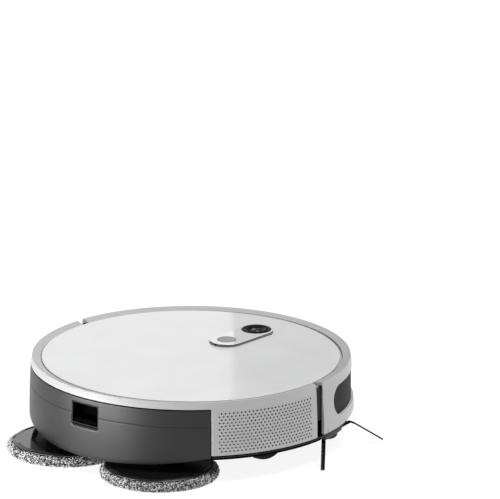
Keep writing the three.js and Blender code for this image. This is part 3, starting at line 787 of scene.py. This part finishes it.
def tank_skin(name, node, bottom, top, hole):
    """Skin of the tank or its cover. bottom and top give a height at each angle; hole is the pocket's cut."""
    bm = bmesh.new()
    columns = tank_columns()
    rows = []
    for a in columns:
        inward = {0: 0.4, 1: 0.12}.get(round((TANK_HALF - abs(a)) / 0.08), 0)
        low, high = bottom(a), top(a)
        breaks = [z for z in hole if low + 1 < z < high - 1]
        marks = [low + SEAM_ROUND] + (breaks or [(low + high) / 2]) + [high - SEAM_ROUND]
        middle = [z for m, n in zip(marks, marks[1:]) for z in spread(m, n, 8)[1:]][:-1]
        path = skin_edge(low, 1) + [(wall_r(z), z) for z in middle] + skin_edge(high, -1)[::-1]
        rows.append([polar(180 + a, r - inward, z) for r, z in path])

    def gap(i, j):
        inside = abs(columns[i] + columns[i + 1]) / 2 < pocket_angle() + 0.01
        return inside and hole[0] < (rows[i][j][2] + rows[i][j + 1][2]) / 2 < hole[1]

    weave(bm, rows, gap)
    face_out(bm)
    put(name, bm, "tank", [DARK_GREY], [node], outward=False, shell=TANK_T)


def on_wall(outline, radius, depth):
    """Lays an outline of (x, z) on the rear wall, whose radius it is given at each height."""
    return [(x, -sqrt(radius(z) ** 2 - x * x) + depth, z) for x, z in outline]


def tank_plan(margin):
    """Outline of the tray inside the tank: straight front, round rear, notched for the pocket."""
    front = (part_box("tank_cover")[1].y - AXIS.y) / MM
    r = BODY_R - 3.0 - margin
    notch = POCKET_HALF + 1.5 + margin
    points = [(TRAY_HALF - margin, front - margin)]
    points += [(r * sin(a), -r * cos(a)) for a in spread(asin((TRAY_HALF - margin) / r), asin(notch / r), 14)]
    points += [(notch, -148 + margin)]
    return points + [(-x, y) for x, y in reversed(points)]


def tank_box(name, floor, brim):
    """Open tray: the tank has its floor below its brim, and the cover above it."""
    bm = bmesh.new()
    step = TRAY_T if brim > floor else -TRAY_T
    outer, inner = tank_plan(0), tank_plan(TRAY_T)
    loops = [[(x, y, floor) for x, y in outer], [(x, y, brim) for x, y in outer],
             [(x, y, brim) for x, y in inner], [(x, y, floor + step) for x, y in inner]]
    loft(bm, loops, cap=True)
    put(name, bm, "tank", [DARK_GREY], bevel=0.5)


def rounded_rect(half_x, z0, z1, corner, steps=6):
    """Points (x, z) round a rectangle with round corners."""
    points = []
    for cx, cz, start in ((half_x - corner, z1 - corner, 0), (corner - half_x, z1 - corner, 90),
                          (corner - half_x, z0 + corner, 180), (half_x - corner, z0 + corner, 270)):
        for t in spread(start, start + 90, steps):
            points.append((cx + corner * cos(radians(t)), cz + corner * sin(radians(t))))
    return points


def pocket():
    """Finger pocket with its bezel."""
    bm = bmesh.new()
    z0, z1 = POCKET_Z

    def loop(inset, depth, corner):
        outline = rounded_rect(POCKET_HALF - inset, z0 + inset, z1 - inset, corner)
        return on_wall(outline, lambda z: wall_r(z) - 0.25, depth)

    sections = [(0.1, 14.5, 1.0), (0.1, 0.5, 1.0), (0.25, 0.12, 1.0), (0.5, 0, 0.9), (1.1, 0, 0.8),
                (1.35, 0.12, 0.7), (1.5, 0.5, 0.7), (2.0, 3.0, 1.2), (2.2, 13.0, 2.2), (3.2, 13.6, 2.2)]
    rows = loft(bm, [loop(*s) for s in sections], cap=True)
    # The inner rows are near-black without gloss: painted shade deep in the pocket.
    inside = {v for row in rows[6:] for v in row}
    for face in bm.faces:
        face.material_index = 1 if all(v in inside for v in face.verts) else 0
    put("finger_pocket", bm, "tank", [RING_BLACK, SHADOW_BLACK], ["pocket_liner"], sharp=40)


def release_bar():
    """Bar along the pocket's lower edge, with a finger lip."""
    bm = bmesh.new()
    low, high = heights("release_bar")
    half = size_mm("release_bar").x / 2
    loops = []
    for inset, depth in [(0.9, 1.6), (0.2, 1.25), (0, 1.8), (0, 9.5)]:
        outline = rounded_rect(half - inset, low + inset, high - inset, 0.9 if inset < 0.5 else 0.5)
        loops.append(on_wall(outline, lambda z: BODY_R, depth))
    loft(bm, loops, cap=True)
    put("release_bar_grip", bm, "release", [SHADOW_BLACK], ["release_bar"])


def tank():
    hole = (POCKET_Z[0] - POCKET_GAP, POCKET_Z[1] + POCKET_GAP)
    tank_skin("tank_skin_lower", "tank_shell", lower_edge, lambda a: TANK_SPLIT - SEAM, (hole[0], 99))
    tank_skin("tank_skin_upper", "tank_cover", lambda a: TANK_SPLIT + SEAM, lambda a: TANK_TOP, (0, hole[1]))
    tank_box("tank_tray", TANK_FLOOR, TANK_SPLIT - 0.3)
    tank_box("tank_lid", TANK_TOP - 1.2, TANK_SPLIT + 0.3)
    pocket()
    release_bar()


# ---- mops ----
def frames_along(points):
    """Tangent and two normals at each point of a path."""
    out = []
    for i, p in enumerate(points):
        ahead = points[min(i + 1, len(points) - 1)] - points[max(i - 1, 0)]
        tangent = ahead.normalized()
        side = tangent.orthogonal().normalized()
        if out:
            side = (out[-1][1] - tangent * out[-1][1].dot(tangent)).normalized()
        out.append((p, side, tangent.cross(side)))
    return out


def tube(bm, points, radius, sides=5, material=0, taper=1.0):
    """Round strand along a path, closed at both ends."""
    loops = []
    count = len(points) - 1
    for i, (p, u, v) in enumerate(frames_along(points)):
        r = radius * (1 + (taper - 1) * i / count)
        loops.append([p + (u * cos(t) + v * sin(t)) * r for t in (2 * pi * k / sides for k in range(sides))])
    loft(bm, loops, cap=True, material=material)


def pile_loop(bm, root, normal, shortest, longest):
    """One loop of twisted yarn that leaves the cloth, bends over and returns."""
    tone = RNG.choices((0, 1, 2), YARN_SHARES)[0]
    length = RNG.uniform(shortest, longest)
    lean = Vector([RNG.uniform(-1, 1) for _ in range(3)])
    along = (lean - normal * lean.dot(normal)).normalized()
    side = normal.cross(along)
    width = RNG.uniform(0.6, 1.1)
    points = []
    for t in spread(0, 1, 4):
        swing = pi * t
        points.append(root + normal * (length * sin(swing)) + along * (width * -cos(swing))
                      + side * (0.5 * sin(2 * swing)) + along * (0.7 * sin(swing)))
    tube(bm, points, RNG.uniform(0.36, 0.5), 4, tone)


def pad_point(t, turn):
    """Point and normal on the pad's edge: t runs from under the pad, round its rim, to its top."""
    corner = PAD_TOP / 2 - 0.9
    inner = PAD_R - corner - 1.3
    angle = -pi / 2 + pi * min(max(t, 0), 1)
    over = max(t - 1, 0) * 30 + max(-t, 0) * 30
    r = inner - over + corner * cos(angle)
    z = PAD_TOP / 2 + 0.1 + corner * sin(angle)
    out = Vector((cos(angle) if 0 <= t <= 1 else 0, sin(angle)))
    flat = Vector((sin(turn), cos(turn), 0))
    return flat * r + Vector((0, 0, z)), (flat * out.x + Vector((0, 0, out.y))).normalized()


def mop(name):
    middle = centre_mm(f"mop_plate_{name}")
    centre = Vector((middle.x, middle.y, 0))
    bm = bmesh.new()
    core = fillet([(0, 1.6, 0), (PAD_R - 4.5, 1.6, 0), (PAD_R - 2.2, 4.6, 3), (PAD_R - 4.5, 7.9, 2),
                   (MOP_R, 8.4, 0), (0, 8.6, 0)])
    lathe(bm, core, middle.x, middle.y, 96, material=1)
    for _ in range(EDGE_LOOPS):
        t = RNG.uniform(-0.05, 1.12)
        point, normal = pad_point(t, RNG.uniform(0, 2 * pi))
        pile_loop(bm, centre + point, normal, 0.9, 2.0)
    for _ in range(SOLE_LOOPS):
        turn, r = RNG.uniform(0, 2 * pi), (PAD_R - 5) * sqrt(RNG.random())
        root = centre + Vector((r * sin(turn), r * cos(turn), 1.9))
        pile_loop(bm, root, Vector((0, 0, -1)), 0.7, 1.3)
    for vert in bm.verts:
        vert.co.z = max(vert.co.z, 0.0)
    pad = put(f"mop_pad_{name}_pile", bm, f"mop_{name}", [YARN_LIGHT, YARN_MID, YARN_DARK],
              [f"mop_pad_{name}"], sharp=180)
    bm = bmesh.new()
    low, high = heights(f"mop_plate_{name}")
    plate = fillet([
        (0, low, 0), (MOP_R - 0.8, low, 0.3), (MOP_R, low + 0.9, 0.4), (MOP_R, 11.3, 0.5),
        (MOP_R - 3.0, 12.6, 0.6), (MOP_R - 5.5, 12.0, 0.8), (26, 12.7, 3), (15, 14.4, 2),
        (13.4, high, 0.8), (0, high, 0)])
    lathe(bm, plate, middle.x, middle.y, 128)
    put(f"mop_plate_{name}_disc", bm, f"mop_{name}", [GLOSS_BLACK], [f"mop_plate_{name}"])


# ---- side brush and roller ----
def arm_z(number, t):
    """Height of an arm: 1 stands out level, 2 rises to the bumper's foot, both droop; 3 lies low."""
    if number == 3:
        return 14.4 - 4 * t - 7.6 * t * t
    rise, droop, knee = {1: (0, 31.2, 0.4), 2: (24, 70.2, 0.453)}[number]
    bend = 0.5 * (t - knee + sqrt((t - knee) ** 2 + 0.0003))
    return 21.0 + rise * (t - ARM_START) - droop * bend


def arm_axes(number):
    """Directions along and across an arm, seen from above."""
    angle = radians(BRUSH_ARMS[number])
    along = Vector((cos(angle), sin(angle), 0))
    return along, Vector((-along.y, along.x, 0))


def arm_path(number, aside, lift):
    """One bristle of an arm: aside is its place across the ribbon, and lift its place in the thickness."""
    along, across = arm_axes(number)
    points = []
    for t in spread(ARM_START, 1, 12):
        middle = Vector((HUB.x, HUB.y, arm_z(number, t) + lift))
        points.append(middle + along * (BRUSH_REACH * t) + across * aside)
    return points


def brush_arm(number):
    """Ribbon of bristles, eleven across and three deep, in a flat socket."""
    bm = bmesh.new()
    for i in range(33):
        aside = -ARM_HALF + 2 * ARM_HALF * (i % 11) / 10 + RNG.uniform(-0.1, 0.1)
        lift = (i // 11 - 1) * 0.6 + RNG.uniform(-0.2, 0.2)
        tube(bm, arm_path(number, aside, lift), 0.24, 5, taper=0.9)
    across = arm_axes(number)[1]
    loops = []
    for point, wide, tall in zip(arm_path(number, 0, 0), (2.6, 2.5, 2.1, 1.9), (1.2, 1.1, 0.7, 0.5)):
        ring = [(wide * cos(t), tall * sin(t)) for t in spread(0, 2 * pi, 16)[:-1]]
        loops.append([point + across * u + Vector((0, 0, v)) for u, v in ring])
    loft(bm, loops, cap=True)
    put(f"side_brush_bristles_{number}", bm, "side_brush", [BRISTLE],
        [f"side_brush_tuft_{number}"], sharp=50)


def side_brush():
    bm = bmesh.new()
    low, high = heights("side_brush_hub")
    hub_r = size_mm("side_brush_hub").x / 2
    profile = fillet([
        (0, low - 0.4, 0), (6, low - 0.4, 0.8), (7.5, low + 1.0, 0.6), (hub_r - 1.5, low + 0.6, 0.8),
        (hub_r, low + 2.5, 1.0), (hub_r - 1, high - 0.6, 0.6), (4, high - 0.3, 0.4), (0, high, 0)])
    lathe(bm, profile, HUB.x, HUB.y, 96)
    put("side_brush_hub_cap", bm, "side_brush", [BLACK], ["side_brush_hub"])
    for number in BRUSH_ARMS:
        brush_arm(number)


def strip_turn(number, x):
    """Angle of a helical strip of the roller at a place along it."""
    return -(number - 1) * pi / 2 - radians(STRIP_TWIST) * x / STRIP_HALF


def roller_fin(number):
    """Helical rubber fin that tapers to its edge."""
    bm = bmesh.new()
    section = [(8.6, 0.16), (18.2, 0.045), (18.7, 0), (18.2, -0.045), (8.6, -0.16)]
    loops = [[level_polar(ROLLER, x, r, strip_turn(number, x) + w) for r, w in section]
             for x in spread(-71, 71, 60)]
    loft(bm, loops, cap=True)
    put(f"roller_fin_{number}", bm, "roller", [RUBBER], [f"roller_strip_{number}"])


def roller_tufts(number):
    """Helical row of bristle tufts."""
    bm = bmesh.new()
    for x in spread(-69, 69, 34):
        turn = strip_turn(number, x)
        for _ in range(12):
            lean, slide = RNG.gauss(0, 0.035), RNG.gauss(0, 0.9)
            steps = ((0.3, 8.2, 0), (0.8, 13.5, 1), (1.3, 18.5, 1.8))
            tube(bm, [level_polar(ROLLER, x + slide * m, r, turn + lean * n) for m, r, n in steps], 0.2, 4)
    put(f"roller_bristles_{number}", bm, "roller", [BRISTLE], [f"roller_strip_{number}"], sharp=50)


def roller():
    half = size_mm("roller_core").x / 2
    bm = bmesh.new()
    end = [(-half, 0, 0), (-half, 4, 0.4), (-STRIP_HALF, 4, 0), (-STRIP_HALF, 8.9, 0.6), (-71, 8.9, 0.5),
           (-70, 8, 0.5)]
    lathe_across(bm, fillet(end + mirrored(end)), ROLLER, 64)
    put("roller_drum", bm, "roller", [DARK_GREY], ["roller_core"])
    for number in (1, 2, 3, 4):
        if number % 2:
            roller_fin(number)
        else:
            roller_tufts(number)


# ---- wheels and caster ----
def tyre(name, middle, hub_r):
    """Tyre with chevron lugs."""
    r, half = wheel_size(f"wheel_tyre_{name}")
    lugs, steps = 22, 12
    bm = bmesh.new()
    inner = [(1.0, r - 3), (0.86, hub_r + 1.2), (0.8, hub_r + 0.2)]
    inner += [(-u, radius) for u, radius in reversed(inner)]
    loops = []
    for k in range(lugs * steps):
        profile = []
        for u in spread(-1, 1, 16):
            phase = (k / steps + 0.7 * abs(u)) % 1
            raised = min(max((0.5 - abs(phase - 0.5)) / 0.1 - 1.6, 0), 1)
            groove = 0 if abs(u) > 0.96 else 1.7 * (1 - raised)
            profile.append((u, r - abs(u) ** 3 - groove))
        turn = 2 * pi * k / (lugs * steps)
        loops.append([level_polar(middle, u * half, radius, turn) for u, radius in profile + inner])
    loft(bm, loops, wrap=True)
    put(f"wheel_tread_{name}", bm, f"wheel_{name}", [TYRE], [f"wheel_tyre_{name}"], sharp=28)


def wheel(side, name):
    middle = centre_mm(f"wheel_tyre_{name}")
    hub_r, half = wheel_size(f"wheel_hub_{name}")
    tyre(name, middle, hub_r)
    bm = bmesh.new()
    profile = fillet([
        (-half, 0, 0), (-half, 8, 0.6), (-half + 1.5, 9, 0.5), (-half + 1.5, 21, 1.2), (-half, 22.5, 0.6),
        (-half, hub_r, 0.6), (half, hub_r, 0.6), (half, 22.5, 0.6), (half - 2.4, 21, 1.4),
        (half - 2.4, 10, 1.2), (half, 8, 0.8), (half, 3, 0.5), (half - 1, 0, 0)])
    lathe_across(bm, [(side * x, r) for x, r in profile], middle)
    rib_in, rib_out = half - 2.6, half - 0.5
    for k in range(6):
        at = Matrix.Translation(middle) @ Matrix.Rotation(pi * k / 3, 4, "X")
        at = at @ Matrix.Translation((side * (rib_in + rib_out) / 2, 0, 15))
        bmesh.ops.create_cube(bm, size=1, matrix=at @ Matrix.Diagonal((rib_out - rib_in, 2.2, 13.5, 1)))
    put(f"wheel_rim_{name}", bm, f"wheel_{name}", [DARK_GREY], [f"wheel_hub_{name}"])


def caster():
    r, half = wheel_size("caster_wheel")
    bm = bmesh.new()
    side = [(-half, 0, 0), (-half, 3, 0.4), (-half + 0.9, 3.4, 0.3), (-half + 0.9, r - 3, 0.5),
            (-half, r - 2.4, 0.5), (-half, r - 1.2, 1.0), (-half + 2, r, 1.5)]
    lathe_across(bm, fillet(side + mirrored(side)), centre_mm("caster_wheel"))
    put("caster_roller", bm, "caster_roll", [RUBBER], ["caster_wheel"])


# ---- underside details ----
def screws():
    """Screw heads with a round recess, in the underside. The CAD leaves them out."""
    for number, (x, y) in enumerate(SCREWS, 1):
        bm = bmesh.new()
        head = fillet([(0, 13.6, 0), (2.9, 13.6, 0.3), (3.1, 13.0, 0.1), (2.4, 12.8, 0.2), (1.5, 12.75, 0.1),
                       (1.1, 13.2, 0.1), (0, 13.3, 0)])
        lathe(bm, head, x, y, 32)
        put(f"base_screw_{number}", bm, "chassis", [STEEL])


# ---- stage ----
def stage():
    bm = bmesh.new()
    bmesh.ops.create_grid(bm, x_segments=1, y_segments=1, size=6)
    mesh = bpy.data.meshes.new("floor")
    bm.to_mesh(mesh)
    bm.free()
    floor = add("floor", mesh)
    made = Nodes("pale_floor", 0.65, Specular_IOR_Level=0.0,
                 Emission_Color=(1, 1, 1, 1), Emission_Strength=0.9)
    made.tint(made.noise(3, 2), grey(0.15), grey(0.17))
    made.bump(made.noise(400, 3), 0.01)
    mesh.materials.append(made.material)
    floor.location.z = -0.0002


def outward(azimuth, elevation):
    """Direction from the robot: azimuth 0 is straight behind it, and 90 to its right."""
    a, e = radians(azimuth), radians(elevation)
    return Vector((sin(a) * cos(e), -cos(a) * cos(e), sin(e)))


def stand(name, data, at, facing):
    """Puts a light or camera in the scene, looking along facing."""
    made = add(name, data)
    made.location = at
    made.rotation_mode = "QUATERNION"
    made.rotation_quaternion = facing.to_track_quat("-Z", "Y")
    return made


def area_light(name, at, facing, size, power):
    data = bpy.data.lights.new(name, "AREA")
    data.shape = "RECTANGLE"
    data.size, data.size_y = size
    data.energy = power
    stand(name, data, at, facing).visible_camera = False


def lights():
    """A wide sun from the right, a strip and a card for the reflections, and two fills."""
    world = bpy.data.worlds.new("studio")
    bpy.context.scene.world = world
    world.use_nodes = True
    back = world.node_tree.nodes["Background"]
    back.inputs["Color"].default_value = (1, 1, 1, 1)
    back.inputs["Strength"].default_value = 0.16
    sun = bpy.data.lights.new("soft_sun", "SUN")
    sun.energy = 3.0
    sun.angle = radians(34)
    stand("soft_sun", sun, (0, 0, 0), -outward(105, 72))
    lift = Vector((0, 0, 0.05))
    area_light("key", outward(-24, 12) * 1.6 + lift, -outward(-24, 12), (0.6, 0.6), 5)
    # beside the rear left, for the broad soft highlight on the dark tank
    away = outward(-16, 0)
    area_light("low_strip", AXIS + away * 0.465 + Vector((0, 0, 0.036)), -away, (0.36, 0.06), 1.4)
    area_light("rim", outward(138, 14) * 1.8 + lift, -outward(138, 14), (0.6, 0.7), 2.5)
    # beyond the robot, seen as a reflection in the left part of its lacquered top, up to card_edge
    near, card_half, card_edge = outward(CAMERA_AZIMUTH, 0), 0.3, 0.045
    at = AXIS - near * 0.5 + Vector((-near.y, near.x, 0)) * (card_edge - card_half) + Vector((0, 0, 0.42))
    area_light("card", at, near, (2 * card_half, 2 * card_half), 0.75)


CAMERA_AZIMUTH = 41.2
CAMERA_ELEVATION = 17.85
CAMERA_DISTANCE = 20.0
LENS_MM = 1408.0
AIM_RIGHT, AIM_UP = 0.0607, 0.1515  # the robot stands low and left of the middle of the frame


def camera():
    back = outward(CAMERA_AZIMUTH, CAMERA_ELEVATION)
    level = outward(CAMERA_AZIMUTH, 0)
    right = Vector((-level.y, level.x, 0))
    target = AXIS + Vector((0, 0, 0.040))
    aim = target + right * AIM_RIGHT + back.cross(right) * AIM_UP
    data = bpy.data.cameras.new("camera")
    data.lens = LENS_MM
    data.clip_start, data.clip_end = 0.1, 100
    at = target + back * CAMERA_DISTANCE
    bpy.context.scene.camera = stand("camera", data, at, aim - at)


bpy.context.scene.view_settings.view_transform = "Standard"
camera()
lights()
stage()
dress_cad()
upper_shell()
deck_ring()
exhaust_shade_sheet()
tank_joint_shade()
top_plate()
bumper()
bumper_backing()
pan_edge()
console()
tank()
for sign, word in ((-1, "left"), (1, "right")):
    mop(word)
    wheel(sign, word)
side_brush()
roller()
caster()
screws()
